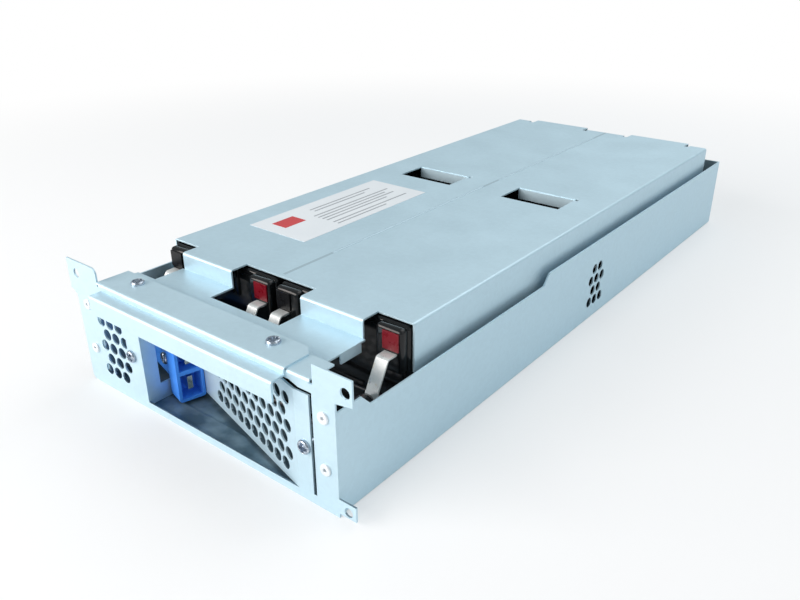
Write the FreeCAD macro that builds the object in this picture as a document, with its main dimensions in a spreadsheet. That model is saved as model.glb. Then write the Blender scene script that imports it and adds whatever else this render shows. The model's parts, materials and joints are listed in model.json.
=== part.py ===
import FreeCAD, Part
import math
import os
import Sketcher

# Battery cartridge of a rack power supply: a folded sheet tray with eight sealed blocks,
# a vented cover, a front plate with a slanted perforated panel and a two-pole connector.
# Lengths are millimetres. X runs across, Y from front to back, Z up.
# While the pieces are drawn, Y = 0 is the front plate's outer face and Z = 0 is the underside.

DRIVING = {
    # sheet metal
    "gauge": 1.0,
    "bend_radius": 1.7,
    "sheet_gap": 0.3,
    # tray
    "tray_width": 195.0,
    "tray_length": 500.0,
    "wall_height": 56.7,
    "dip_height": 50.1,
    "dip_front": 23.7,
    "dip_rear": 183.9,
    "dip_slope": 6.3,
    "corner_hole": 2.0,
    "rivet_flange_width": 13.0,
    "rivet_flange_low": 4.0,
    "rivet_flange_high": 56.0,
    # vents and perforations
    "vent_radius": 3.45,
    "vent_pitch": 8.12,
    "vent_row": 7.83,
    "vent_low": 13.4,
    "side_vent_middle": 260.0,
    "front_vent_left": -82.1,
    # front plate
    "plate_left": 102.5,
    "ear_reach": 107.7,
    "ear_top": 77.0,
    "left_ear_inner": 79.5,
    "left_ear_low": 58.6,
    "left_ear_step": 55.7,
    "right_ear_inner": 84.5,
    "right_ear_low": 63.7,
    "right_ear_step": 62.1,
    "ear_hole_radius": 2.8,
    "ear_hole_height": 69.5,
    "left_hole_x": 99.2,
    "right_hole_x": 103.6,
    "lug_low": 2.5,
    "lug_top": 10.7,
    "lug_hole_radius": 2.5,
    "lug_hole_x": 103.2,
    "lug_hole_height": 5.9,
    "rail_low": 64.0,
    "rail_top": 68.5,
    "return_depth": 16.5,
    "return_right": 82.4,
    "return_clip": 6.0,
    "relief_depth": 2.0,
    "left_relief": 1.0,
    "sill_height": 4.5,
    "sill_depth": 13.0,
    "recess_left": 46.6,
    "slot_width": 2.0,
    "tab_right": 81.5,
    "tab_top": 60.0,
    # slanted perforated panel
    "panel_fold": 71.9,
    "panel_angle": 14.8,
    "panel_length": 121.6,
    "panel_low": 4.3,
    "panel_hole_start": 8.0,
    "panel_hole_low": 12.0,
    "panel_holes": 10,
    "panel_rows": 6,
    # fasteners of the front
    "rivet_head_radius": 3.2,
    "rivet_head_height": 1.6,
    "rivet_shank_radius": 1.6,
    "rivet_shank_length": 7.0,
    "rivet_left": 92.8,
    "rivet_right": 90.3,
    "rivet_low": 24.0,
    "rivet_high": 52.0,
    "screw_head_radius": 3.8,
    "screw_head_height": 2.2,
    "screw_shank_radius": 1.9,
    "screw_length": 8.0,
    "front_screw_height": 31.0,
    "left_screw_x": 56.0,
    "right_screw_x": 77.4,
    # connector bracket
    "bracket_tab": 15.0,
    "bracket_tab_height": 18.0,
    "bracket_depth": 32.0,
    "bracket_top": 58.0,
    "window_front": 9.0,
    "window_low": 12.5,
    "window_top": 42.0,
    # connector
    "hood_start": 105.0,
    "hood_length": 12.0,
    "hood_height": 36.5,
    "hood_low": 3.0,
    "hood_thickness": 15.7,
    "hood_wall": 1.8,
    "body_length": 35.0,
    "body_height": 20.0,
    "cavity_depth": 11.0,
    "mid_rib": 2.6,
    "contact_width": 8.0,
    "contact_thickness": 3.0,
    "contact_reach": 9.0,
    "pole_spacing": 16.0,
    "connector_screw_along": 125.0,
    # bezel bracket
    "bezel_left": 79.0,
    "bezel_right": 67.9,
    "bezel_depth": 20.0,
    "bezel_clip": 5.0,
    "ledge_left": 74.0,
    "ledge_height": 66.0,
    "ledge_reach": 9.0,
    "band_low": 55.2,
    "bezel_screw_left": 59.5,
    "bezel_screw_right": 47.2,
    "bezel_screw_depth": 12.8,
    # blocks
    "block_width": 90.0,
    "block_height": 70.5,
    "block_depth": 97.0,
    "block_start": 56.0,
    "row_gap": 4.0,
    "middle_gap": 27.0,
    "column_gap": 2.0,
    "lid_depth": 17.0,
    "lid_step": 1.2,
    "lid_rim": 0.8,
    "pad_size": 10.0,
    "pad_thickness": 0.8,
    "pad_drop": 3.0,
    "pad_margin": 3.0,
    "blade_width": 6.3,
    "blade_thickness": 0.8,
    "blade_reach": 3.4,
    "blade_height": 56.5,
    # straps and leads
    "strap_width": 10.0,
    "strap_thickness": 0.8,
    "strap_shelf": 6.5,
    "strap_forward": 9.5,
    "strap_drop": 19.0,
    "lead_diameter": 4.6,
    "link_diameter": 2.6,
    "link_height": 38.0,
    # cover
    "cover_half": 92.3,
    "cover_top": 73.0,
    "flank_low": 46.0,
    "cover_front": 62.6,
    "cover_rear": 474.0,
    "face_front": 50.8,
    "face_half": 69.6,
    "shelf_top": 62.5,
    "shelf_front": 14.0,
    "shelf_left": 87.4,
    "shelf_half": 71.0,
    "shelf_step": 31.0,
    "shelf_lip": 6.0,
    "window_half": 26.9,
    "window_start": 35.0,
    "lance_inner": 22.0,
    "lance_outer": 67.0,
    "lance_front": 254.4,
    "lance_rear": 280.5,
    "lance_drop": 7.0,
    "lance_notch": 2.5,
    "rear_tab_inner": 22.0,
    "rear_tab_outer": 74.0,
    "rear_tab_reach": 8.0,
    "rear_tab_drop": 12.0,
    "rear_notch": 4.0,
    "crease_half": 0.8,
    "crease_depth": 0.4,
    "crease_start": 105.0,
    "crease_middle": 267.0,
    "crease_restart": 288.0,
    "crease_end": 449.0,
    # label
    "label_left": 73.5,
    "label_width": 48.5,
    "label_front": 106.5,
    "label_length": 122.5,
    "label_thickness": 0.15,
}

document = FreeCAD.newDocument("BatteryCartridge")
sheet = document.addObject("Spreadsheet::Sheet", "Sizes")
for row, (alias, number) in enumerate(DRIVING.items(), start=1):
    sheet.set(f"A{row}", alias)
    sheet.set(f"B{row}", str(number))
    sheet.setAlias(f"B{row}", alias)
document.recompute()


class Size:
    """A length that carries its number and the sheet formula that gives it."""

    def __init__(self, number, formula):
        self.number = float(number)
        self.formula = formula

    def __add__(self, other):
        other = as_size(other)
        return Size(self.number + other.number, f"({self.formula} + {other.formula})")

    def __sub__(self, other):
        other = as_size(other)
        return Size(self.number - other.number, f"({self.formula} - {other.formula})")

    def __mul__(self, other):
        other = as_size(other)
        return Size(self.number * other.number, f"({self.formula} * {other.formula})")

    def __truediv__(self, other):
        other = as_size(other)
        return Size(self.number / other.number, f"({self.formula} / {other.formula})")

    def __neg__(self):
        return Size(-self.number, f"(0 - {self.formula})")

    def __radd__(self, other):
        return as_size(other) + self

    def __rsub__(self, other):
        return as_size(other) - self

    def __rmul__(self, other):
        return as_size(other) * self


def as_size(thing):
    """A plain number as a size, so that both can be mixed."""
    return thing if isinstance(thing, Size) else Size(thing, f"({float(thing)!r})")


def cosine(angle):
    return Size(math.cos(math.radians(angle.number)), f"cos({angle.formula} * 1 deg)")


def sine(angle):
    return Size(math.sin(math.radians(angle.number)), f"sin({angle.formula} * 1 deg)")


def given(alias):
    """The size that the sheet holds under this alias."""
    return Size(sheet.get(alias), f"Sizes.{alias}")


def bind(item, path, size):
    """Tie one property of an object to a sheet formula."""
    item.setExpression(path, as_size(size).formula)


# Values that several pieces share, all from the sheet
gauge = given("gauge")
gap = given("sheet_gap")
bend = given("bend_radius")
tray_half = given("tray_width") / 2
tray_length = given("tray_length")
wall_height = given("wall_height")
inner_half = tray_half - gauge
vent_radius = given("vent_radius")
vent_pitch = given("vent_pitch")
vent_row = given("vent_row")
vent_low = given("vent_low")
ledge_reach = given("ledge_reach")
middle_depth = (tray_length - ledge_reach) / 2
rail_top = given("rail_top")
recess_left = -given("recess_left")
panel_angle = given("panel_angle")
panel_fold = given("panel_fold")
cover_top = given("cover_top")
lance_rear = given("lance_rear")
screw_shank = given("screw_shank_radius")
rivet_shank = given("rivet_shank_radius")
rivet_spots = [
    (side, height)
    for side in (-given("rivet_left"), given("rivet_right"))
    for height in (given("rivet_low"), given("rivet_high"))
]
screw_height = given("front_screw_height")
front_screw_spots = [(-given("left_screw_x"), screw_height), (given("right_screw_x"), screw_height)]
bezel_screw_depth = given("bezel_screw_depth")
bezel_screw_spots = [
    (-given("bezel_screw_left"), bezel_screw_depth),
    (given("bezel_screw_right"), bezel_screw_depth),
]

# Which way each plane's sketches face along the model's axes
FACING = {"XY_Plane": 1, "XZ_Plane": -1, "YZ_Plane": 1}
finished = []


def settle(item):
    """Place a finished sub-part so that the origin is under the middle of the cartridge."""
    bind(item, "Placement.Base.y", -middle_depth)
    finished.append(item)
    document.recompute()
    return item


def new_body(label):
    body = document.addObject("PartDesign::Body", label)
    body.Label = label
    return body


def plane_of(body, role):
    return next(item for item in body.Origin.OriginFeatures if item.Role == role)


def draw_polygon(sketch, corners):
    """Close a loop of straight edges whose corners are tied to the sheet."""
    first = sketch.GeometryCount
    spots = [(as_size(across), as_size(up)) for across, up in corners]
    points = [FreeCAD.Vector(across.number, up.number, 0) for across, up in spots]
    for here, there in zip(points, points[1:] + points[:1]):
        sketch.addGeometry(Part.LineSegment(here, there), False)
    for step, (across, up) in enumerate(spots):
        edge = first + step
        following = first + (step + 1) % len(spots)
        sketch.addConstraint(Sketcher.Constraint("Coincident", edge, 2, following, 1))
        for kind, size in (("DistanceX", across), ("DistanceY", up)):
            number = sketch.addConstraint(Sketcher.Constraint(kind, -1, 1, edge, 1, size.number))
            bind(sketch, f"Constraints[{number}]", size)


def draw_circle(sketch, across, up, radius):
    """A round hole or rod whose centre and radius are tied to the sheet."""
    across = as_size(across)
    up = as_size(up)
    centre = FreeCAD.Vector(across.number, up.number, 0)
    circle = sketch.addGeometry(Part.Circle(centre, FreeCAD.Vector(0, 0, 1), radius.number), False)
    for kind, size in (("DistanceX", across), ("DistanceY", up)):
        number = sketch.addConstraint(Sketcher.Constraint(kind, -1, 1, circle, 3, size.number))
        bind(sketch, f"Constraints[{number}]", size)
    number = sketch.addConstraint(Sketcher.Constraint("Radius", circle, radius.number))
    bind(sketch, f"Constraints[{number}]", radius)


def outline(body, role, level, loops=(), rounds=()):
    """A sketch on one of the body's own planes, lifted to a level along that plane's axis."""
    sketch = body.newObject("Sketcher::SketchObject", "Outline")
    sketch.AttachmentSupport = [(plane_of(body, role), "")]
    sketch.MapMode = "FlatFace"
    bind(sketch, "AttachmentOffset.Base.z", as_size(level) * FACING[role])
    for corners in loops:
        draw_polygon(sketch, corners)
    for across, up, radius in rounds:
        draw_circle(sketch, across, up, radius)
    return sketch


def rectangle(left, right, low, high):
    return [(left, low), (right, low), (right, high), (left, high)]


def grow(body, role, start, end, loops=(), rounds=()):
    """Add material between two levels of the plane's axis."""
    profile = outline(body, role, start, loops, rounds)
    pad = body.newObject("PartDesign::Pad", "Grow")
    pad.Profile = profile
    pad.Reversed = FACING[role] < 0
    bind(pad, "Length", as_size(end) - start)
    document.recompute()


def trim(body, role, start, end, loops=(), rounds=()):
    """Take material away between two levels of the plane's axis."""
    before = body.Shape.Volume
    profile = outline(body, role, start, loops, rounds)
    pocket = body.newObject("PartDesign::Pocket", "Trim")
    pocket.Profile = profile
    pocket.Reversed = FACING[role] > 0
    bind(pocket, "Length", as_size(end) - start)
    document.recompute()
    if body.Shape.Volume > before - 1e-6:
        raise RuntimeError(f"a cut in {body.Label} took nothing away")


def edges_along(shape, axis, first, second):
    """Names of the straight edges along an axis at two given coordinates."""
    others = [index for index in range(3) if index != "xyz".index(axis)]
    spot = [as_size(first).number, as_size(second).number]
    names = []
    for count, edge in enumerate(shape.Edges, start=1):
        ends = [vertex.Point for vertex in edge.Vertexes]
        if len(ends) != 2:
            continue
        if all(abs(end[index] - value) < 1e-4 for end in ends for index, value in zip(others, spot)):
            names.append(f"Edge{count}")
    return names


def round_edges(body, radius, lines):
    """Round the edges that run along the given lines, as a bend or a softened corner."""
    names = []
    for axis, first, second in lines:
        names += edges_along(body.Shape, axis, first, second)
    if not names:
        raise RuntimeError(f"no edge to round in {body.Label}")
    before = body.Tip
    fillet = body.newObject("PartDesign::Fillet", "Rounding")
    fillet.Base = (before, names)
    bind(fillet, "Radius", radius)
    document.recompute()


def rod(name, axis, radius, start, end, across, up):
    """A round bar along an axis, from one level to another."""
    bar = document.addObject("Part::Cylinder", name)
    start = as_size(start)
    bind(bar, "Radius", radius)
    bind(bar, "Height", as_size(end) - start)
    turn, spot = {
        "x": (FreeCAD.Rotation(FreeCAD.Vector(0, 1, 0), 90), (start, across, up)),
        "y": (FreeCAD.Rotation(FreeCAD.Vector(1, 0, 0), -90), (across, start, up)),
        "z": (FreeCAD.Rotation(), (across, up, start)),
    }[axis]
    bar.Placement = FreeCAD.Placement(FreeCAD.Vector(0, 0, 0), turn)
    for letter, size in zip("xyz", spot):
        bind(bar, f"Placement.Base.{letter}", size)
    return bar


def block(name, west, east, south, north, low, high):
    """A box between six sizes."""
    item = document.addObject("Part::Box", name)
    for side, (start, end), letter in (
        ("Length", (west, east), "x"),
        ("Width", (south, north), "y"),
        ("Height", (low, high), "z"),
    ):
        bind(item, side, as_size(end) - start)
        bind(item, f"Placement.Base.{letter}", start)
    return item


def joined(name, items):
    fuse = document.addObject("Part::MultiFuse", name)
    fuse.Shapes = items
    return fuse


def group(label, items):
    """Like pieces that share one node, each a solid of its own."""
    bundle = document.addObject("Part::Compound", label)
    bundle.Label = label
    bundle.Links = items
    return bundle


def vent_spots(start, low, columns, rows, narrow):
    """Staggered rows of vent holes; every other row is shifted by half a pitch."""
    spots = []
    for row in range(rows):
        shifted = row % 2
        for column in range(columns - shifted * narrow):
            along = start + vent_pitch * column + vent_pitch * shifted / 2
            spots.append((along, low + vent_row * row, vent_radius))
    return spots


def make_tray():
    """Floor, side walls and rear wall folded from one sheet, with short flanges for the rivets."""
    body = new_body("tray")
    section = [
        (-tray_half, 0), (tray_half, 0), (tray_half, wall_height), (inner_half, wall_height),
        (inner_half, gauge), (-inner_half, gauge), (-inner_half, wall_height), (-tray_half, wall_height),
    ]
    grow(body, "XZ_Plane", gauge, tray_length, [section])
    corners = [("y", side * tray_half, 0) for side in (-1, 1)]
    round_edges(body, bend, corners)
    rear_half = inner_half - gap
    grow(body, "XZ_Plane", tray_length - gauge, tray_length,
        [rectangle(-rear_half, rear_half, gauge / 2, wall_height)])
    low = given("rivet_flange_low")
    width = given("rivet_flange_width")
    flange_top = given("rivet_flange_high")
    flanges = [
        rectangle(-inner_half - gauge / 2, -tray_half + width, low, flange_top),
        rectangle(tray_half - width, inner_half + gauge / 2, low, flange_top),
    ]
    grow(body, "XZ_Plane", gauge, gauge * 2, flanges)
    trim(body, "XZ_Plane", gauge, gauge * 2 + 1, [], [(x, z, rivet_shank) for x, z in rivet_spots])
    front = given("dip_front")
    rear = given("dip_rear")
    slope = given("dip_slope")
    high = given("dip_height")
    dip = [(front - slope, wall_height + 1), (front - slope, wall_height), (front, high), (rear, high),
           (rear + slope, wall_height), (rear + slope, wall_height + 1)]
    trim(body, "YZ_Plane", inner_half - 1, tray_half + 1, [dip])
    vents = vent_spots(given("side_vent_middle") - vent_pitch, vent_low, 3, 4, 1)
    trim(body, "YZ_Plane", -tray_half - 1, tray_half + 1, [], vents)
    hole = given("corner_hole")
    corner_holes = [(side * (inner_half - hole), tray_length - hole - gauge, hole) for side in (-1, 1)]
    trim(body, "XY_Plane", -1, gauge, [], corner_holes)
    return settle(body)


def make_front_plate():
    """The front sheet: strips, ears, lug, both flanges and the slanted panel in its recess."""
    body = new_body("front_plate")
    left = -given("plate_left")
    reach = given("ear_reach")
    top = given("ear_top")
    relief = rail_top - given("relief_depth")
    right_inner = given("right_ear_inner")
    return_right = given("return_right")
    left_inner = -given("left_ear_inner")
    return_left = left_inner + given("left_relief")
    edge = [
        (left, 0), (tray_half, 0), (tray_half, given("lug_low")), (reach, given("lug_low")),
        (reach, given("lug_top")), (tray_half, given("lug_top")), (tray_half, given("right_ear_step")),
        (reach, given("right_ear_low")), (reach, top), (right_inner, top), (right_inner, relief),
        (return_right, relief), (return_right, rail_top), (return_left, rail_top), (return_left, relief),
        (left_inner, relief), (left_inner, top), (-reach, top),
        (-reach, given("left_ear_low")), (left, given("left_ear_step")),
    ]
    sill = given("sill_height")
    rail = given("rail_low")
    tab_right = given("tab_right")
    tab_top = given("tab_top")
    slot = given("slot_width")
    recess = [
        (recess_left, sill), (panel_fold, sill), (panel_fold, tab_top), (tab_right, tab_top),
        (tab_right, sill + 1), (tab_right + slot, sill + 1), (tab_right + slot, tab_top + slot),
        (tab_right - 3 * slot, tab_top + slot), (panel_fold - slot, rail), (recess_left, rail),
    ]
    hole_height = given("ear_hole_height")
    holes = [
        (-given("left_hole_x"), hole_height, given("ear_hole_radius")),
        (given("right_hole_x"), hole_height, given("ear_hole_radius")),
        (given("lug_hole_x"), given("lug_hole_height"), given("lug_hole_radius")),
    ]
    holes += [(x, z, rivet_shank) for x, z in rivet_spots]
    holes += [(x, z, screw_shank) for x, z in front_screw_spots]
    holes += vent_spots(given("front_vent_left"), vent_low, 3, 5, 0)
    grow(body, "XZ_Plane", 0, gauge, [edge])
    round_edges(body, bend * 2, [("y", left, 0), ("y", left_inner, top)])
    trim(body, "XZ_Plane", -1, gauge + 1, [recess], holes)

    clip = given("return_clip")
    depth = given("return_depth")
    flange = [(return_left, gauge / 2), (return_right, gauge / 2), (return_right, depth),
              (return_left + clip, depth), (return_left, depth - clip)]
    grow(body, "XY_Plane", rail_top - gauge, rail_top, [flange])
    shank_holes = [(x, y, screw_shank) for x, y in bezel_screw_spots]
    trim(body, "XY_Plane", rail_top - gauge - 1, rail_top + 1, [], shank_holes)
    round_edges(body, bend, [("x", 0, rail_top)])
    sill_half = inner_half - given("rivet_flange_width")
    sill_flange = rectangle(-sill_half, sill_half, gauge / 2, given("sill_depth") + gauge)
    grow(body, "XY_Plane", gauge, gauge * 2, [sill_flange])

    length = given("panel_length")
    along = (-cosine(panel_angle), sine(panel_angle))
    behind = (sine(panel_angle), cosine(panel_angle))
    root = (panel_fold, as_size(0))
    far = (root[0] + along[0] * length, root[1] + along[1] * length)
    strip = [root, (panel_fold + gauge, 0), (panel_fold + gauge, gauge),
             (root[0] + behind[0] * gauge, behind[1] * gauge),
             (far[0] + behind[0] * gauge, far[1] + behind[1] * gauge), far]
    grow(body, "XY_Plane", given("panel_low"), tab_top, [strip])
    perforate(body)
    return settle(body)


def perforate(body):
    """Staggered round holes square to the slanted panel."""
    before = body.Shape.Volume
    spots = []
    for row in range(int(DRIVING["panel_rows"])):
        start = given("panel_hole_start") + (vent_pitch / 2 if row % 2 == 0 else 0)
        for column in range(int(DRIVING["panel_holes"])):
            spots.append((-(start + vent_pitch * column), given("panel_hole_low") + vent_row * row,
                vent_radius))
    sketch = outline(body, "XZ_Plane", 0, [], spots)
    sketch.AttachmentOffset = FreeCAD.Placement(
        FreeCAD.Vector(panel_fold.number, 0, 0),
        FreeCAD.Rotation(FreeCAD.Vector(0, 1, 0), -panel_angle.number),
    )
    bind(sketch, "AttachmentOffset.Base.x", panel_fold)
    pocket = body.newObject("PartDesign::Pocket", "Perforations")
    pocket.Profile = sketch
    bind(pocket, "Length", gauge * 2)
    document.recompute()
    if body.Shape.Volume > before - 1:
        raise RuntimeError("the panel has no perforations")


def make_connector_bracket():
    """L-shaped sheet: a tab behind the front plate and the recess's left wall with its window."""
    body = new_body("connector_bracket")
    low = gauge * 2 + gap
    top = given("bracket_top")
    depth = given("bracket_depth")
    front = given("window_front")
    wall = [
        (gauge, low), (depth, low), (depth, given("window_low")), (front, given("window_low")),
        (front, given("window_top")), (depth, given("window_top")), (depth, top), (gauge, top),
    ]
    grow(body, "YZ_Plane", recess_left - gauge, recess_left, [wall])
    half = given("bracket_tab_height") / 2
    tab = rectangle(recess_left - given("bracket_tab"), recess_left, screw_height - half, screw_height + half)
    grow(body, "XZ_Plane", gauge, gauge * 2, [tab])
    left_screw = front_screw_spots[0]
    trim(body, "XZ_Plane", 0, gauge * 3, [], [(left_screw[0], left_screw[1], screw_shank)])
    return settle(body)


def stand_on_panel(item):
    """Turn a connector piece into line with the slanted panel."""
    item.Placement = FreeCAD.Placement(
        FreeCAD.Vector(0, 0, 0), FreeCAD.Rotation(FreeCAD.Vector(0, 0, 1), -panel_angle.number)
    )
    bind(item, "Placement.Base.x", panel_fold)
    return settle(item)


hood_start = given("hood_start")
hood_length = given("hood_length")
hood_low = given("hood_low")
hood_high = hood_low + given("hood_height")
hood_back = -gap
hood_front = hood_back - given("hood_thickness")
hood_middle = (hood_front + hood_back) / 2
body_middle = hood_low + given("hood_height") / 2 + given("hood_wall")
pole_half = given("pole_spacing") / 2


def make_connector_housing():
    """Two-pole connector along the panel: an open hood and a narrower body behind it."""
    body = new_body("connector_housing")
    mouth = -hood_start
    neck = mouth - hood_length
    tail = neck - given("body_length")
    wall = given("hood_wall")
    grow(body, "YZ_Plane", neck, mouth, [rectangle(hood_front, hood_back, hood_low, hood_high)])
    half = given("body_height") / 2
    rear = rectangle(hood_front + wall, hood_back - wall / 2, body_middle - half, body_middle + half)
    grow(body, "YZ_Plane", tail, neck, [rear])
    rib = given("mid_rib") / 2
    centre = (hood_low + hood_high) / 2
    cavities = [
        rectangle(hood_front + wall, hood_back - wall, hood_low + wall, centre - rib),
        rectangle(hood_front + wall, hood_back - wall, centre + rib, hood_high - wall),
    ]
    trim(body, "YZ_Plane", mouth - given("cavity_depth"), mouth + 1, cavities)
    sockets = [(hood_middle, body_middle + side * half / 2,
        given("lead_diameter") / 2 + gap) for side in (-1, 1)]
    trim(body, "YZ_Plane", tail - 1, tail + half, [], sockets)
    screw = [(-given("connector_screw_along"), body_middle, screw_shank)]
    trim(body, "XZ_Plane", hood_front, hood_back + 1, [], screw)
    round_edges(body, wall, [("x", hood_front, hood_low), ("x", hood_front, hood_high),
                             ("x", hood_back, hood_low), ("x", hood_back, hood_high)])
    return stand_on_panel(body)


def make_connector_contacts():
    """Two flat contacts that lie in the hood's cavities, seated at the cavity's end."""
    end = -hood_start - given("cavity_depth")
    half_width = given("contact_width") / 2
    half_thick = given("contact_thickness") / 2
    centre = (hood_low + hood_high) / 2
    contacts = []
    for side in (-1, 1):
        middle = centre + side * pole_half
        contacts.append(block("Contact", end, end + given("contact_reach"), hood_middle - half_thick,
                              hood_middle + half_thick, middle - half_width, middle + half_width))
    return stand_on_panel(group("connector_contacts", contacts))


def screw_along(name, axis, sense, face, length, across, up):
    """Pan head and shank on one line; sense is the way that the head looks."""
    head = given("screw_head_height")
    if sense > 0:
        spans = ((face, face + head), (face - length, face))
    else:
        spans = ((face - head, face), (face, face + length))
    parts = [rod(f"{name}Head", axis, given("screw_head_radius"), *spans[0], across, up),
             rod(f"{name}Shank", axis, screw_shank - gap / 3, *spans[1], across, up)]
    return joined(name, parts)


def make_connector_screw():
    """The screw that ties the connector's body to the end of the panel."""
    face = hood_front + given("hood_wall")
    length = given("hood_thickness") - given("hood_wall") * 2
    screw = screw_along("ConnectorScrew", "y", -1, face, length, -given("connector_screw_along"), body_middle)
    screw.Label = "connector_screw"
    return stand_on_panel(screw)


def make_front_screws():
    length = given("screw_length")
    face = as_size(0)
    screws = [screw_along("FrontScrew", "y", -1, face, length, x, z) for x, z in front_screw_spots]
    return settle(group("front_screws", screws))


def make_bezel_screws():
    face = rail_top + gauge
    length = rail_top + gauge - given("shelf_top") - gauge
    screws = [screw_along("BezelScrew", "z", 1, face, length, x, y) for x, y in bezel_screw_spots]
    return settle(group("bezel_screws", screws))


def make_front_rivets():
    """Blind rivets: a low head in front and a shank through plate and tray flange."""
    head = given("rivet_head_height")
    rivets = []
    for x, z in rivet_spots:
        cap = rod("RivetHead", "y", given("rivet_head_radius"), -head, as_size(0), x, z)
        shank = rod("RivetShank", "y", rivet_shank - gap / 3, as_size(0), given("rivet_shank_length"), x, z)
        rivets.append(joined("Rivet", [cap, shank]))
    return settle(group("front_rivets", rivets))


def make_bezel_bracket():
    """Z-shaped sheet: flange on the return flange, riser, ledge and the band in front."""
    body = new_body("bezel_bracket")
    left = -given("bezel_left")
    right = given("bezel_right")
    ledge_left = -given("ledge_left")
    top = rail_top + gauge
    ledge = given("ledge_height")
    clip = given("bezel_clip")
    depth = given("bezel_depth")
    flange = [(left, -gauge), (right, -gauge), (right, depth - clip), (right - clip, depth), (left, depth)]
    grow(body, "XY_Plane", rail_top, top, [flange])
    section = [
        (-gauge, top - gauge / 2), (-gauge, ledge), (-ledge_reach, ledge), (-ledge_reach, given("band_low")),
        (-ledge_reach + gauge, given("band_low")), (-ledge_reach + gauge, ledge - gauge), (0, ledge - gauge),
        (0, top - gauge / 2),
    ]
    grow(body, "YZ_Plane", ledge_left, right, [section])
    round_edges(body, bend, [("x", -gauge, top), ("x", -ledge_reach, ledge)])
    trim(body, "XY_Plane", rail_top - 1, top + 1, [], [(x, y, screw_shank) for x, y in bezel_screw_spots])
    return settle(body)


def both_sides(near, far, low, high):
    """The same rectangle right and left of the middle."""
    return [rectangle(near, far, low, high), rectangle(-far, -near, low, high)]


def make_top_cover():
    """The cover: roof, flanks, stepped front with shelf and windows, lanced flaps and rear tabs."""
    body = new_body("top_cover")
    half = given("cover_half")
    under = cover_top - gauge
    low = given("flank_low")
    front = given("cover_front")
    rear = given("cover_rear")
    roof = [
        (-half, low), (-half + gauge, low), (-half + gauge, under), (half - gauge, under),
        (half - gauge, low), (half, low), (half, cover_top), (-half, cover_top),
    ]
    grow(body, "XZ_Plane", front, rear, [roof])
    round_edges(body, bend, [("y", -half, cover_top), ("y", half, cover_top)])
    face = given("face_front")
    face_half = given("face_half")
    window = given("window_half")
    grow(body, "XY_Plane", under, cover_top, both_sides(window, face_half, face, front))
    shelf_top = given("shelf_top")
    shelf_under = shelf_top - gauge
    grow(body, "XZ_Plane", face, face + gauge, both_sides(window, face_half, shelf_under, under + gauge / 2))
    shelf_half = given("shelf_half")
    shelf_left = -given("shelf_left")
    step = given("shelf_step")
    start = given("window_start")
    back = face + gauge
    shelf = [
        (shelf_left, given("shelf_front")), (shelf_half, given("shelf_front")), (shelf_half, face),
        (face_half, face), (face_half, back), (window, back), (window, start), (-window, start),
        (-window, back), (-face_half, back), (-face_half, face), (-shelf_half, face), (-shelf_half, step),
        (shelf_left, step),
    ]
    grow(body, "XY_Plane", shelf_under, shelf_top, [shelf])
    lip = given("shelf_lip")
    lips = both_sides(shelf_half - gauge, shelf_half, shelf_top - lip, shelf_under + gauge / 2)
    grow(body, "XZ_Plane", step + gauge * 2, face - gauge * 3, lips)
    round_edges(body, bend, [("x", face, cover_top)])

    lance_inner = given("lance_inner")
    lance_outer = given("lance_outer")
    notch = given("lance_notch")
    trim(body, "XY_Plane", under - 1, cover_top + 1,
         both_sides(lance_inner, lance_outer, given("lance_front"), lance_rear))
    notches = [rectangle(edge, edge + notch, lance_rear - notch, lance_rear + gauge)
               for edge in (lance_outer, -lance_inner)]
    trim(body, "XY_Plane", under - 1, cover_top + 1, notches)
    flaps = both_sides(lance_inner, lance_outer, under - given("lance_drop"), under + gauge / 2)
    grow(body, "XZ_Plane", lance_rear - gauge, lance_rear + gauge / 4, flaps)

    tab_inner = given("rear_tab_inner")
    tab_outer = given("rear_tab_outer")
    tab_end = rear + given("rear_tab_reach")
    grow(body, "XY_Plane", under, cover_top, both_sides(tab_inner, tab_outer, rear - gauge, tab_end))
    drop = both_sides(tab_inner, tab_outer, cover_top - given("rear_tab_drop"), under + gauge / 2)
    grow(body, "XZ_Plane", tab_end - gauge, tab_end, drop)
    round_edges(body, bend, [("x", tab_end, cover_top)])
    cuts = []
    relief = given("rear_notch")
    for edge in (tab_outer, tab_inner - relief):
        cuts += both_sides(edge, edge + relief, rear - relief, rear + gauge)
    trim(body, "XY_Plane", under - 1, cover_top + 1, cuts)

    crease = given("crease_half")
    groove = [(-crease, cover_top + 1), (-crease, cover_top), (0, cover_top - given("crease_depth")),
              (crease, cover_top), (crease, cover_top + 1)]
    for begin, end in (("crease_start", "crease_middle"), ("crease_restart", "crease_end")):
        trim(body, "XZ_Plane", given(begin), given(end), [groove])
    return settle(body)


block_depth = given("block_depth")
block_width = given("block_width")
block_low = gauge
block_top = gauge + given("block_height")
row_gap = given("row_gap")
column_half = given("column_gap") / 2
lid_depth = given("lid_depth")


def row_start(row):
    """Front face of a row of blocks; the wide gap for the cover's flaps is behind the second."""
    extra = given("middle_gap") - row_gap if row > 1 else as_size(0)
    return given("block_start") + (block_depth + row_gap) * row + extra


def column_left(column):
    return -column_half - block_width if column == 0 else column_half


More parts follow.
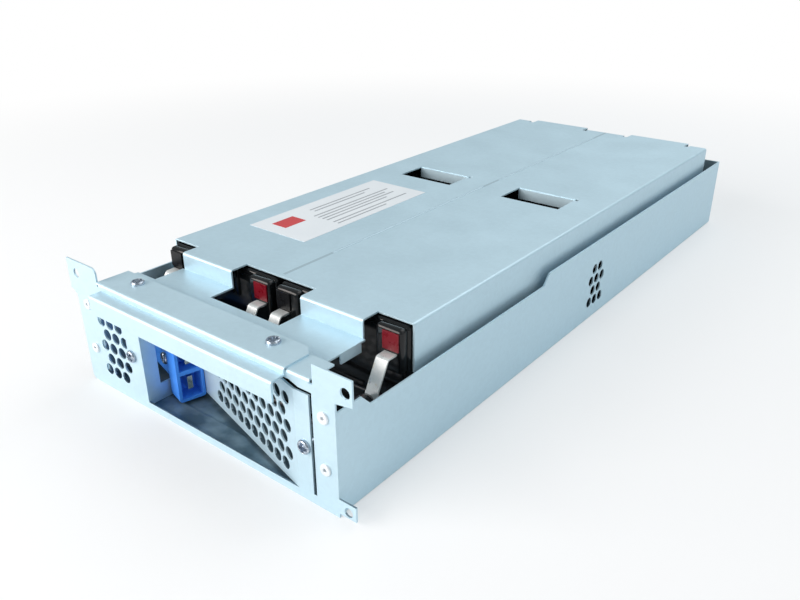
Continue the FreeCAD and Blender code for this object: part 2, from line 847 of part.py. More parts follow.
def make_block(number, row, column):
    """One sealed block: the case, and in front of it the stepped lid with its groove."""
    left = column_left(column)
    right = left + block_width
    front = row_start(row)
    seam = front + lid_depth
    rim = given("lid_rim")
    case = new_body(f"battery_case_{number}")
    grow(case, "XZ_Plane", seam, front + block_depth,
         [rectangle(left + rim, right - rim, block_low, block_top - rim)])
    round_edges(case, bend, [("y", left + rim, block_top - rim), ("y", right - rim, block_top - rim)])
    settle(case)
    lid = new_body(f"battery_lid_{number}")
    step = given("lid_step")
    grow(lid, "XZ_Plane", front + step, seam, [rectangle(left, right, block_low, block_top)])
    face = rectangle(left + step * 2, right - step * 2, block_low + step * 2, block_top - step * 2)
    grow(lid, "XZ_Plane", front, front + step, [face])
    groove = rectangle(seam - step * 4, seam - step * 3, block_top - step, block_top + 1)
    trim(lid, "YZ_Plane", left - 1, right + 1, [groove])
    settle(lid)


def terminal_spots(row, column):
    """Middle of the positive and the negative terminal of one block."""
    left = column_left(column)
    half = given("pad_size") / 2
    positive = left + block_width - given("pad_margin") - half
    negative = left + given("pad_margin") + half
    return positive, negative, row_start(row)


def make_terminals():
    """Coloured pads on the lids and the flat blades that stand out below them."""
    size = given("pad_size")
    high = block_top - given("pad_drop")
    thick = given("pad_thickness")
    blade = given("blade_height")
    half = given("blade_width") / 2
    pads = {"positive_pads": [], "negative_pads": []}
    blades = []
    for row in range(4):
        for column in range(2):
            positive, negative, face = terminal_spots(row, column)
            for label, middle in (("positive_pads", positive), ("negative_pads", negative)):
                pads[label].append(block("Pad", middle - size / 2, middle + size / 2, face - thick, face,
                                         high - size, high))
                blades.append(block("Blade", middle - half, middle + half, face - given("blade_reach"), face,
                                    blade - given("blade_thickness"), blade))
    for label, items in pads.items():
        settle(group(label, items))
    settle(group("terminal_blades", blades))


def strap_spots():
    """The four terminals of the front row, from left to right."""
    spots = []
    for column in range(2):
        positive, negative, face = terminal_spots(0, column)
        spots += [(negative, face), (positive, face)]
    return spots


strap_back = row_start(0) - gap
strap_hook = strap_back - given("strap_shelf")
strap_level = given("blade_height")
strap_foot = (strap_hook - given("strap_forward"), strap_level - given("strap_drop"))


def make_front_straps():
    """Tinned straps that lie on the front blades and slope forward and down."""
    half = given("strap_width") / 2
    thick = given("strap_thickness")
    for number, (middle, _) in enumerate(strap_spots(), start=1):
        body = new_body(f"front_strap_{number}")
        section = [(strap_back, strap_level), (strap_back, strap_level + thick),
                   (strap_hook, strap_level + thick), (strap_foot[0] - thick, strap_foot[1]), strap_foot,
                   (strap_hook + thick / 2, strap_level)]
        grow(body, "YZ_Plane", middle - half, middle + half, [section])
        settle(body)


def rounded_path(points):
    """Straight runs joined by tangent arcs, each as large as its two runs allow."""
    radii = []
    edges = []
    start = points[0]
    for before, corner, after in zip(points, points[1:], points[2:]):
        back = before - corner
        ahead = after - corner
        shorter = min(back.Length, ahead.Length)
        turn = math.pi - back.getAngle(ahead)
        setback = 0.45 * shorter
        radius = setback / math.tan(turn / 2)
        radii.append(radius)
        back.normalize()
        ahead.normalize()
        entry = corner + back * setback
        leave = corner + ahead * setback
        middle_way = (back + ahead).normalize()
        centre_distance = radius / math.cos(turn / 2)
        crown = corner + middle_way * (centre_distance - radius)
        edges.append(Part.LineSegment(start, entry).toShape())
        edges.append(Part.Arc(entry, crown, leave).toShape())
        start = leave
    edges.append(Part.LineSegment(start, points[-1]).toShape())
    return Part.Wire(edges), radii


def make_lead(label, diameter, spots):
    """A round lead along its route."""
    points = [FreeCAD.Vector(*(as_size(part).number for part in spot)) for spot in spots]
    path, radii = rounded_path(points)
    heading = (points[1] - points[0]).normalize()
    ring = Part.Wire([Part.makeCircle(diameter.number / 2, points[0], heading)])
    tube = path.makePipeShell([ring], True, False)
    expected = math.pi * diameter.number ** 2 / 4 * path.Length
    print(f"{label}: length {path.Length:.1f}, radii", " ".join(f"{radius:.1f}" for radius in radii),
          f"volume ratio {tube.Volume / expected:.4f}")
    if abs(tube.Volume / expected - 1) > 0.01:
        raise RuntimeError(f"{label} isn't a whole tube")
    lead = document.addObject("Part::Feature", label)
    lead.Label = label
    lead.Shape = tube
    return settle(lead)


def on_panel_line(along, off, height):
    """A point given along the slanted panel and square off it."""
    x = panel_fold - cosine(panel_angle) * along + sine(panel_angle) * off
    y = sine(panel_angle) * along + cosine(panel_angle) * off
    return (x, y, height)


def make_connector_leads():
    """From the connector's tail to the outer front straps."""
    diameter = given("lead_diameter")
    half = given("body_height") / 4
    tail = hood_start + hood_length + given("body_length")
    socket_end = tail - half
    spots = strap_spots()
    foot_y = strap_foot[0] + 1
    foot_z = strap_foot[1] - diameter / 2
    left_foot = spots[0][0]
    right_foot = spots[3][0]
    floor_level = gauge + diameter / 2 + gap
    lane = given("block_start") - diameter * 2
    red = [
        on_panel_line(socket_end, hood_middle, body_middle - half),
        on_panel_line(tail + 2, hood_middle, body_middle - half),
        (left_foot - 6, foot_y - 1, body_middle - half), (left_foot - 10.5, foot_y, body_middle + 3),
        (left_foot - 7, foot_y, foot_z), (left_foot, foot_y, foot_z),
    ]
    black = [
        on_panel_line(socket_end, hood_middle, body_middle + half),
        on_panel_line(tail + 2, hood_middle, body_middle + half),
        (left_foot - 5, foot_y + 3, body_middle + half), (left_foot - 9, lane + 1, body_middle + 1),
        (left_foot - 6, lane + 3, body_middle - 11), (left_foot + 6, lane + 1, floor_level + 2),
        (left_foot + 28, lane, floor_level), (-20, lane - 2, floor_level), (20, lane, floor_level + 1),
        (right_foot - 28, lane + 1, floor_level + 2), (right_foot - 12, lane - 1, floor_level + 12),
        (right_foot - 8, foot_y + 1, foot_z - 3), (right_foot, foot_y, foot_z),
    ]
    make_lead("red_lead", diameter, red)
    make_lead("black_lead", diameter, black)


def make_row_leads():
    """Thin leads from each block's inner terminal round the side to the next block's outer one."""
    diameter = given("link_diameter")
    side_lane = inner_half - diameter / 2 - gauge
    level = given("blade_height") - given("blade_thickness") - diameter / 2
    low = given("link_height")
    number = 0
    for side in (-1, 1):
        column = 0 if side < 0 else 1
        inner = abs(terminal_spots(0, column)[column].number)
        outer = abs(terminal_spots(0, column)[1 - column].number)
        for row in range(3):
            number += 1
            here = row_start(row) - row_gap / 2
            there = row_start(row + 1) - row_gap / 2
            if row:
                route = [(side * inner, here, level), (side * (inner + 12), here, low + 2),
                         (side * 45, here, low - 4), (side * 80, here, low - 5)]
            else:
                route = [(side * inner, strap_foot[0] + 1, strap_foot[1] - diameter / 2),
                         (side * (inner + 14), here - 6, low - 5),
                         (side * 45, here - 2, low - 6), (side * 78, here - 1, low - 6)]
            route += [(side * side_lane, here, low - 6), (side * side_lane, here + 7, low - 5),
                      (side * side_lane, (here + there) / 2, low - 4),
                      (side * side_lane, there - 7, low - 1), (side * side_lane, there, low),
                      (side * (outer + 7), there, low + 3), (side * (outer + 2), there, low + 9),
                      (side * outer, there, level)]
            make_lead(f"row_lead_{number}", diameter, route)


def make_rear_link():
    """Flat link across the middle of the last row."""
    body = new_body("rear_link")
    left_positive = terminal_spots(3, 0)[0]
    right_negative = terminal_spots(3, 1)[1]
    face = row_start(3)
    half = given("blade_width") / 2
    level = given("blade_height")
    grow(body, "XY_Plane", level, level + given("strap_thickness"),
         [rectangle(left_positive - half, right_negative + half, face - given("blade_reach"), face - gap)])
    return settle(body)


def make_label():
    body = new_body("label")
    left = -given("label_left")
    front = given("label_front")
    grow(body, "XY_Plane", cover_top, cover_top + given("label_thickness"),
         [rectangle(left, left + given("label_width"), front, front + given("label_length"))])
    return settle(body)


def check_and_export():
    """Refuse anything broken, then write one STEP file for each sub-part."""
    document.recompute()
    broken = [item.Name for item in document.Objects if {"Invalid", "Error"} & set(item.State)]
    if broken:
        raise RuntimeError("failed objects: " + ", ".join(broken))
    os.makedirs("parts", exist_ok=True)
    for item in finished:
        shape = item.Shape
        if shape.isNull() or not shape.isValid() or not shape.Solids:
            raise RuntimeError(f"{item.Label} has no sound shape")
        shape.exportStep(os.path.join("parts", f"{item.Label}.step"))
    print(len(finished), "sub-parts written")


make_tray()
make_front_plate()
make_connector_bracket()
make_connector_housing()
make_connector_contacts()
make_connector_screw()
make_front_screws()
make_front_rivets()
make_bezel_bracket()
make_bezel_screws()
make_top_cover()
for block_number in range(8):
    make_block(block_number + 1, block_number // 2, block_number % 2)
make_terminals()
make_front_straps()
make_connector_leads()
make_row_leads()
make_rear_link()
make_label()
check_and_export()
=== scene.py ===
import json
import math

import bmesh
import bpy
from bpy.props import FloatProperty, FloatVectorProperty, IntProperty, PointerProperty
from mathutils import Matrix, Vector


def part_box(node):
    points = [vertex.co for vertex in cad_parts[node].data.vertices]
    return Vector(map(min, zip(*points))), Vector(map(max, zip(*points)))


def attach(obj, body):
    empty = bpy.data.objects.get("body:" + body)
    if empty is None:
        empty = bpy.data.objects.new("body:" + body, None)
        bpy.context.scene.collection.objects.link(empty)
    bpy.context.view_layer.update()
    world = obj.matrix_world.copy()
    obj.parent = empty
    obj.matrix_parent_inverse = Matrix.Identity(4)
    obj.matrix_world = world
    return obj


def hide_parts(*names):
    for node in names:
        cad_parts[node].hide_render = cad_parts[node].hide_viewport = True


bl_info = {
    "name": "Battery cartridge",
    "version": (1, 0, 0),
    "blender": (4, 5, 0),
    "location": "View3D > Sidebar > Cartridge",
    "description": "Finishes and fine pieces of a sheet metal battery cartridge",
    "category": "Object",
}

MM = 0.001
BODY = "root"
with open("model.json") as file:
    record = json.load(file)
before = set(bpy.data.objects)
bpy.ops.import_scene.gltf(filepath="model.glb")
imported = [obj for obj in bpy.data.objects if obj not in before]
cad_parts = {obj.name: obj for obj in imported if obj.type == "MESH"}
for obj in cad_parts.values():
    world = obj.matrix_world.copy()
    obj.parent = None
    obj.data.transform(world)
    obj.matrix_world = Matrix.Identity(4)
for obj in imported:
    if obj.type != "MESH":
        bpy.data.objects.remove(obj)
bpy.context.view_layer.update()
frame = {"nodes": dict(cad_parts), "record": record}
NODES = frame["nodes"]
PLATE_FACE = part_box("front_plate")[0].y
TO_FRONT = Vector((0, -1, 0))
TO_TOP = Vector((0, 0, 1))
PANEL_ANGLE = math.radians(14.8)
BLOCK_COUNT = 8
STRAP_COUNT = 4


# sizes and colours that a user would change

def colour_prop(name, description, default):
    return FloatVectorProperty(name=name, description=description, default=default, subtype="COLOR",
                               size=3, min=0, max=1)


def length_prop(name, description, default):
    return FloatProperty(name=name, description=description, default=default, subtype="DISTANCE",
                         unit="LENGTH", min=0)


class SheetFinish(bpy.types.PropertyGroup):
    pale: colour_prop("Pale zinc", "Colour of the lightest crystals", (0.56, 0.735, 0.825))
    deep: colour_prop("Deep zinc", "Colour of the darkest crystals", (0.52, 0.695, 0.785))
    roughness: FloatProperty(name="Roughness", description="Mean roughness", default=0.47, min=0, max=1)
    metallic: FloatProperty(name="Metallic", description="Share of metal", default=0.48, min=0, max=1)
    edge: length_prop("Edge radius", "Radius that the sheared edges look rounded to", 0.25 * MM)


class FastenerSizes(bpy.types.PropertyGroup):
    ring: FloatProperty(name="Rivet ring", description="Share of the rivet head outside its dimple",
                        default=0.7, min=0.1, max=0.9)
    recess_reach: FloatProperty(name="Recess reach", description="Arm of the cross over the head radius",
                                default=0.74, min=0.1, max=0.9)
    recess_width: FloatProperty(name="Recess width", description="Half an arm's width over the head radius",
                                default=0.27, min=0.02, max=0.5)
    recess_depth: FloatProperty(name="Recess depth", description="Depth of the cross over the head height",
                                default=0.88, min=0.1, max=0.95)


class LidSizes(bpy.types.PropertyGroup):
    tower_width: length_prop("Tower width", "Width of a terminal tower", 21 * MM)
    tower_height: length_prop("Tower height", "Height of a terminal tower", 25 * MM)
    relief: length_prop("Relief", "Depth of the lid's face behind the towers", 4.5 * MM)
    corner: length_prop("Corner radius", "Radius of the lid's long edges", 2.6 * MM)
    lip: length_prop("Lip", "Reach of the seam lip over the lid's walls", 0.5 * MM)
    ridges: IntProperty(name="Ridges", description="Vent ridges between the towers", default=6, min=0)


class StrapSizes(bpy.types.PropertyGroup):
    width: length_prop("Width", "Width of a strap", 7.6 * MM)
    gauge: length_prop("Gauge", "Thickness of a strap", 0.8 * MM)
    bend: length_prop("Bend", "Radius of the bend", 2.2 * MM)
    shelf: length_prop("Shelf", "Reach of the bend from the front plate's face", 49.4 * MM)


class LeadSizes(bpy.types.PropertyGroup):
    diameter: length_prop("Diameter", "Diameter of a connector lead", 4.6 * MM)


class StageSizes(bpy.types.PropertyGroup):
    azimuth: FloatProperty(name="Azimuth", description="Camera's turn from the front", unit="ROTATION",
                           default=math.radians(38.40))
    elevation: FloatProperty(name="Elevation", description="Camera's height angle", unit="ROTATION",
                             default=math.radians(25.77))
    roll: FloatProperty(name="Roll", description="Camera's roll", unit="ROTATION",
                        default=math.radians(-0.16))
    camera: FloatVectorProperty(name="Camera", description="Place of the camera", subtype="XYZ",
                                unit="LENGTH", size=3, default=(0.2909, -0.4447, 0.2444))
    lens: FloatProperty(name="Lens", description="Focal length in millimetres", default=34.79)
    key: FloatProperty(name="Key", description="Power of the key lamp", unit="POWER", default=33)
    fill: FloatProperty(name="Fill", description="Power of the right lamp", unit="POWER", default=2)
    top: FloatProperty(name="Top", description="Power of the top lamp", unit="POWER", default=13)
    ambient: FloatProperty(name="Ambient", description="Strength of the sky on the object", default=0.44)
    floor: colour_prop("Floor", "Colour of the floor", (0.88, 0.89, 0.9))
    clear_start: length_prop("Clear start", "Where the backdrop starts to turn white", 0.42)
    clear_end: length_prop("Clear end", "Where the backdrop is all white", 1.0)


# small helpers

def sizes():
    return bpy.context.scene.cartridge_sizes


def link_object(name, mesh):
    piece = bpy.data.objects.new(name, mesh)
    bpy.context.scene.collection.objects.link(piece)
    return piece


def finish_mesh(mesh, angle=35):
    mesh.shade_smooth()
    mesh.set_sharp_from_angle(angle=math.radians(angle))
    return mesh


def mesh_from(name, bm, angle=35):
    bmesh.ops.recalc_face_normals(bm, faces=bm.faces)
    mesh = bpy.data.meshes.new(name)
    bm.to_mesh(mesh)
    bm.free()
    return finish_mesh(mesh, angle)


def add_slab(bm, low, high, radius=0.0, segments=3):
    """A closed box from corner to corner, its edges rounded."""
    low, high = Vector(low), Vector(high)
    size = high - low
    place = Matrix.Translation((low + high) / 2) @ Matrix.Diagonal((*size, 1))
    verts = bmesh.ops.create_cube(bm, size=1, matrix=place)["verts"]
    if radius:
        edges = list({edge for vert in verts for edge in vert.link_edges})
        bmesh.ops.bevel(bm, geom=edges, offset=min(radius, min(size) * 0.49), segments=segments,
                        profile=0.5, affect="EDGES", clamp_overlap=True)


def wear(piece, slot_name, *nodes):
    """Finishes a piece that stands for CAD nodes."""
    piece.data.materials.clear()
    piece.data.materials.append(bpy.data.materials[slot_name])
    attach(piece, BODY)
    if nodes:
        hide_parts(*nodes)


# shader node groups that several materials share

def shader_group(name, inputs, outputs):
    tree = bpy.data.node_groups.new(name, "ShaderNodeTree")
    for label, kind, value in inputs:
        socket = tree.interface.new_socket(name=label, in_out="INPUT", socket_type=kind)
        if value is not None:
            socket.default_value = value
    for label, kind in outputs:
        tree.interface.new_socket(name=label, in_out="OUTPUT", socket_type=kind)
    return tree, tree.nodes.new("NodeGroupInput"), tree.nodes.new("NodeGroupOutput")


def make_node(tree, kind, values=None, **settings):
    node = tree.nodes.new(kind)
    for key, value in settings.items():
        setattr(node, key, value)
    for key, value in (values or {}).items():
        if isinstance(value, bpy.types.NodeSocket):
            tree.links.new(value, node.inputs[key])
        else:
            node.inputs[key].default_value = value
    return node


def math_node(tree, operation, first, second=None, clamp=False):
    values = {0: first}
    if second is not None:
        values[1] = second
    return make_node(tree, "ShaderNodeMath", values, operation=operation, use_clamp=clamp).outputs[0]


def noise(tree, vector, scale, detail=3.0, roughness=0.5):
    values = {"Vector": vector, "Scale": scale, "Detail": detail, "Roughness": roughness}
    return make_node(tree, "ShaderNodeTexNoise", values).outputs["Fac"]


def make_grain_group():
    """Cloudy patches and a fine grain: a shade, a roughness and a height."""
    tree, given, result = shader_group("surface_grain", [
        ("Vector", "NodeSocketVector", None), ("Patch Scale", "NodeSocketFloat", 40.0),
        ("Grain Scale", "NodeSocketFloat", 900.0), ("Roughness", "NodeSocketFloat", 0.4),
        ("Spread", "NodeSocketFloat", 0.1)],
        [("Shade", "NodeSocketFloat"), ("Roughness", "NodeSocketFloat"), ("Height", "NodeSocketFloat")])
    vector = given.outputs["Vector"]
    patch = noise(tree, vector, given.outputs["Patch Scale"], detail=4.0, roughness=0.55)
    grain = noise(tree, vector, given.outputs["Grain Scale"], detail=2.0, roughness=0.6)
    patch_share, grain_share, black_point, middle = 1.3, 0.45, 0.4, 0.5
    raised = math_node(tree, "SUBTRACT", math_node(tree, "MULTIPLY", patch, patch_share), black_point)
    shade = math_node(tree, "MULTIPLY_ADD", grain, grain_share)
    tree.links.new(raised, shade.node.inputs[2])
    clear = math_node(tree, "ADD", shade, 0.0, clamp=True)
    centred = math_node(tree, "SUBTRACT", clear, middle)
    spread = math_node(tree, "MULTIPLY", centred, given.outputs["Spread"])
    rough = math_node(tree, "ADD", spread, given.outputs["Roughness"], clamp=True)
    tree.links.new(clear, result.inputs["Shade"])
    tree.links.new(rough, result.inputs["Roughness"])
    tree.links.new(grain, result.inputs["Height"])


def make_spangle_group():
    """Zinc crystals: flat cells with a light or a dark side."""
    tree, given, result = shader_group("zinc_spangle", [
        ("Vector", "NodeSocketVector", None), ("Scale", "NodeSocketFloat", 260.0)],
        [("Shade", "NodeSocketFloat")])
    bend_scale, bend_reach = 300.0, 2 * MM
    bend = noise(tree, given.outputs["Vector"], bend_scale, detail=2.0)
    moved = make_node(tree, "ShaderNodeVectorMath", {0: given.outputs["Vector"]}, operation="ADD")
    tree.links.new(math_node(tree, "MULTIPLY", bend, bend_reach), moved.inputs[1])
    cells = make_node(tree, "ShaderNodeTexVoronoi", {"Vector": moved.outputs[0],
                      "Scale": given.outputs["Scale"]})
    grey = make_node(tree, "ShaderNodeSeparateColor", {"Color": cells.outputs["Color"]})
    tree.links.new(grey.outputs["Red"], result.inputs["Shade"])


def make_edge_group():
    """Sharp edges, found from the rounded normal: a mask that paints a highlight on the edges, and the
    rounded normal.
    """
    tree, given, result = shader_group("worn_edge", [
        ("Radius", "NodeSocketFloat", 0.3 * MM), ("Strength", "NodeSocketFloat", 4.0)],
        [("Mask", "NodeSocketFloat"), ("Normal", "NodeSocketVector")])
    bevel = make_node(tree, "ShaderNodeBevel", {"Radius": given.outputs["Radius"]}, samples=4)
    flat = make_node(tree, "ShaderNodeNewGeometry")
    dot = make_node(tree, "ShaderNodeVectorMath", {0: bevel.outputs["Normal"], 1: flat.outputs["Normal"]},
                    operation="DOT_PRODUCT")
    turned = math_node(tree, "SUBTRACT", 1.0, dot.outputs["Value"], clamp=True)
    mask = math_node(tree, "MULTIPLY", turned, given.outputs["Strength"], clamp=True)
    tree.links.new(mask, result.inputs["Mask"])
    tree.links.new(bevel.outputs["Normal"], result.inputs["Normal"])


def make_floor_shade_group():
    """The lowest faces that look up, where a painted shade darkens the floor: a mask."""
    tree, given, result = shader_group("low_floor", [
        ("Vector", "NodeSocketVector", None), ("Height", "NodeSocketFloat", 12 * MM),
        ("Amount", "NodeSocketFloat", 0.8)], [("Mask", "NodeSocketFloat")])
    normal = make_node(tree, "ShaderNodeNewGeometry").outputs["Normal"]
    up = make_node(tree, "ShaderNodeSeparateXYZ", {"Vector": normal}).outputs["Z"]
    rise = make_node(tree, "ShaderNodeSeparateXYZ", {"Vector": given.outputs["Vector"]}).outputs["Z"]
    level, cloud_scale, least = 0.5, 60.0, 0.4
    low = math_node(tree, "LESS_THAN", rise, given.outputs["Height"])
    lying = math_node(tree, "MULTIPLY", math_node(tree, "GREATER_THAN", up, level), low)
    cloud = math_node(tree, "ADD", noise(tree, given.outputs["Vector"], cloud_scale), least, clamp=True)
    full = math_node(tree, "MULTIPLY", lying, cloud)
    tree.links.new(math_node(tree, "MULTIPLY", full, given.outputs["Amount"], clamp=True),
                   result.inputs["Mask"])


def make_crease_group():
    """The soft fold along the middle of the cover: a mask, where the sheet gets a painted shade and no
    rounded edge.
    """
    tree, given, result = shader_group("soft_crease", [
        ("Vector", "NodeSocketVector", None), ("Half Width", "NodeSocketFloat", 1.5 * MM),
        ("Start", "NodeSocketFloat", -180 * MM)], [("Mask", "NodeSocketFloat")])
    place = make_node(tree, "ShaderNodeSeparateXYZ", {"Vector": given.outputs["Vector"]})
    near = math_node(tree, "LESS_THAN", math_node(tree, "ABSOLUTE", place.outputs["X"]),
                     given.outputs["Half Width"])
    behind = math_node(tree, "GREATER_THAN", place.outputs["Y"], given.outputs["Start"])
    tree.links.new(math_node(tree, "MULTIPLY", near, behind), result.inputs["Mask"])


EDGE_STRENGTH = 1.2
COAT_ROUGHNESS = 0.12


class Surface:
    """One material while its nodes are put together."""

    def __init__(self, name, roughness=0.5, metallic=0.0, coat=0.0, edge=0.2 * MM, gloss=0.5):
        material = bpy.data.materials.new(name)
        material.use_nodes = True
        self.tree = material.node_tree
        self.shader = self.tree.nodes["Principled BSDF"]
        self.shader.inputs["Metallic"].default_value = metallic
        self.shader.inputs["Coat Weight"].default_value = coat
        self.shader.inputs["Specular IOR Level"].default_value = gloss
        self.shader.inputs["Coat Roughness"].default_value = COAT_ROUGHNESS
        self.roughness = roughness
        self.place = make_node(self.tree, "ShaderNodeTexCoord").outputs["Object"]
        self.edge = self.group("worn_edge", {"Radius": edge, "Strength": EDGE_STRENGTH})

    def group(self, name, values):
        node = make_node(self.tree, "ShaderNodeGroup", node_tree=bpy.data.node_groups[name])
        for key, value in values.items():
            if isinstance(value, bpy.types.NodeSocket):
                self.tree.links.new(value, node.inputs[key])
            else:
                node.inputs[key].default_value = value
        return node

    def grain(self, patch, fine, spread):
        return self.group("surface_grain", {"Vector": self.place, "Patch Scale": patch, "Grain Scale": fine,
                                            "Roughness": self.roughness, "Spread": spread})

    def mix(self, mask, first, second):
        node = make_node(self.tree, "ShaderNodeMix", data_type="RGBA")
        for socket, value in ((node.inputs[6], first), (node.inputs[7], second)):
            if isinstance(value, bpy.types.NodeSocket):
                self.tree.links.new(value, socket)
            else:
                socket.default_value = (*value, 1)
        self.tree.links.new(mask, node.inputs[0])
        return node.outputs[2]

    def finish(self, colour, grain, bump, edge_highlight_colour=None):
        # painted highlight: the sharp edges are lightened to the edge colour
        if edge_highlight_colour:
            colour = self.mix(self.edge.outputs["Mask"], colour, edge_highlight_colour)
        rise = make_node(self.tree, "ShaderNodeBump", {"Height": grain.outputs["Height"],
                         "Normal": self.edge.outputs["Normal"], "Strength": 1.0, "Distance": bump})
        self.tree.links.new(colour, self.shader.inputs["Base Color"])
        self.tree.links.new(grain.outputs["Roughness"], self.shader.inputs["Roughness"])
        self.tree.links.new(rise.outputs["Normal"], self.shader.inputs["Normal"])


# half width of the fold and how dark its painted shade is
CREASE_HALF = 1.1 * MM
CREASE_SHADE = 0.8
# dark blue-grey of the painted shade on the lowest faces that look up
FLOOR_SHADE_COLOUR = (0.05, 0.1, 0.14)
# lightens the pale zinc for the crystals and for the painted highlight on the sharp edges
BRIGHT_EDGE = 1.12
CRYSTAL_SHARE = 0.22


def make_sheet():
    """Zinc sheet: soft patches and crystals, a painted highlight on the sharp edges, a painted shade in the
    crease and a painted shade on the low floor.
    """
    finish = sizes().sheet
    pale, deep = finish.pale, finish.deep
    surface = Surface("galvanised_sheet", finish.roughness, finish.metallic, edge=finish.edge)
    tree = surface.tree
    grain = surface.grain(patch=28.0, fine=1400.0, spread=0.16)
    spangle = surface.group("zinc_spangle", {"Vector": surface.place, "Scale": 420.0})
    cloud = surface.mix(grain.outputs["Shade"], deep, pale)
    crystal = math_node(tree, "MULTIPLY", spangle.outputs["Shade"], CRYSTAL_SHARE)
    bright = [min(1, value * BRIGHT_EDGE) for value in pale]
    colour = surface.mix(crystal, cloud, bright)
    crease = surface.group("soft_crease", {"Vector": surface.place, "Half Width": CREASE_HALF})
    aside = math_node(tree, "SUBTRACT", 1.0, crease.outputs["Mask"])
    tree.links.new(math_node(tree, "MULTIPLY", aside, finish.edge), surface.edge.inputs["Radius"])
    # painted shade: the lowest faces that look up are darkened to a dark blue-grey
    low = surface.group("low_floor", {"Vector": surface.place, "Amount": 0.95})
    # painted highlight: the sharp edges are lightened to the bright zinc
    edge_highlighted = surface.mix(surface.edge.outputs["Mask"], colour, bright)
    # painted shade: the fold is darkened to the deep zinc times the crease factor
    folded = surface.mix(crease.outputs["Mask"], edge_highlighted, [value * CREASE_SHADE for value in deep])
    surface.finish(surface.mix(low.outputs["Mask"], folded, FLOOR_SHADE_COLOUR), grain, 0.01 * MM)


def make_plain(name, dark, light, roughness, metallic=0.0, coat=0.0, patch=60.0, fine=1200.0,
               spread=0.2, bump=0.01 * MM, edge_highlight_colour=None, gloss=0.5):
    surface = Surface(name, roughness, metallic, coat, gloss=gloss)
    grain = surface.grain(patch, fine, spread)
    surface.finish(surface.mix(grain.outputs["Shade"], dark, light), grain, bump, edge_highlight_colour)


def make_tinned():
    """Tin plate with cloudy tarnish and small amber stains."""
    surface = Surface("tinned_metal", roughness=0.34, metallic=0.3)
    grain = surface.grain(patch=190.0, fine=1800.0, spread=0.35)
    cloud = surface.mix(grain.outputs["Shade"], (0.66, 0.7, 0.7), (0.88, 0.91, 0.9))
    stain_scale, stain_start, stain_rise = 130.0, 0.6, 4.0
    spots = noise(surface.tree, surface.place, stain_scale, detail=4.0, roughness=0.7)
    above = math_node(surface.tree, "SUBTRACT", spots, stain_start)
    stain = math_node(surface.tree, "MULTIPLY", above, stain_rise, clamp=True)
    colour = surface.mix(stain, cloud, (0.62, 0.5, 0.26))
    # the last colour is a painted highlight on the sharp edges
    surface.finish(colour, grain, 0.03 * MM, (0.95, 0.95, 0.93))


# each plain material's dark and light colour, roughness and what sets it apart; an edge colour is a painted
# highlight on the sharp edges

PLAIN_FINISHES = {
    "rivet_metal": {"dark": (0.72, 0.78, 0.82), "light": (0.9, 0.93, 0.95), "roughness": 0.36,
                    "metallic": 0.4},
    # painted glints: the steel swings in small patches from near-black blue to white
    "screw_steel": {"dark": (0.05, 0.12, 0.22), "light": (0.9, 0.95, 1.0), "roughness": 0.14,
                    "metallic": 0.9, "patch": 900.0, "spread": 0.3},
    "connector_blue": {"dark": (0.05, 0.26, 0.95), "light": (0.09, 0.36, 1.0), "roughness": 0.32,
                       "coat": 0.1, "fine": 2600.0, "bump": 0.02 * MM,
                       "edge_highlight_colour": (0.2, 0.45, 0.95), "gloss": 0.4},
    "contact_silver": {"dark": (0.7, 0.69, 0.64), "light": (0.9, 0.9, 0.88), "roughness": 0.2,
                       "metallic": 1.0, "patch": 300.0},
    "block_case": {"dark": (0.008, 0.009, 0.01), "light": (0.016, 0.017, 0.019), "roughness": 0.34,
                   "fine": 2200.0, "bump": 0.03 * MM, "gloss": 0.22},
    "block_lid": {"dark": (0.004, 0.0045, 0.005), "light": (0.009, 0.01, 0.011), "roughness": 0.13,
                  "fine": 1500.0, "bump": 0.006 * MM, "edge_highlight_colour": (0.05, 0.055, 0.06),
                  "gloss": 0.34},
    "pad_red": {"dark": (0.13, 0.003, 0.008), "light": (0.2, 0.006, 0.014), "roughness": 0.3,
                "patch": 200.0, "gloss": 0.35},
    "pad_black": {"dark": (0.004, 0.004, 0.005), "light": (0.009, 0.009, 0.01), "roughness": 0.3,
                  "patch": 200.0, "gloss": 0.25},
    "lead_black": {"dark": (0.006, 0.006, 0.008), "light": (0.014, 0.014, 0.016), "roughness": 0.2,
                   "gloss": 0.8},
    "lead_red": {"dark": (0.22, 0.008, 0.01), "light": (0.32, 0.014, 0.016), "roughness": 0.3,
                 "gloss": 0.4},
    "label_paper": {"dark": (0.74, 0.79, 0.83), "light": (0.8, 0.84, 0.87), "roughness": 0.35,
                    "coat": 0.2, "spread": 0.1},
    "print_grey": {"dark": (0.3, 0.33, 0.36), "light": (0.42, 0.45, 0.48), "roughness": 0.5},
    "print_red": {"dark": (0.5, 0.04, 0.05), "light": (0.62, 0.07, 0.07), "roughness": 0.5},
}


class FinishNodes(bpy.types.Operator):
    """Makes the materials and puts them on the CAD nodes"""
    bl_idname = "cartridge.finish_nodes"
    bl_label = "Finish the CAD nodes"

    def execute(self, context):
        for imported in list(bpy.data.materials):
            bpy.data.materials.remove(imported)
        for make_group in (make_grain_group, make_spangle_group, make_edge_group, make_floor_shade_group,
                           make_crease_group):
            make_group()
        make_sheet()
        make_tinned()
        for name, finish in PLAIN_FINISHES.items():
            make_plain(name, **finish)
        for part in frame["record"]["subparts"]:
            mesh = NODES[part["node"]].data
            slot_name = "lead_black" if part["node"].startswith("row_lead") else part["material_slot"]
            mesh.materials.clear()
            mesh.materials.append(bpy.data.materials[slot_name])
        return {"FINISHED"}


# fasteners

FASTENER_REACH = 12 * MM
HEAD_SHARE = 0.9
SHANK_DROP = 0.5 * MM


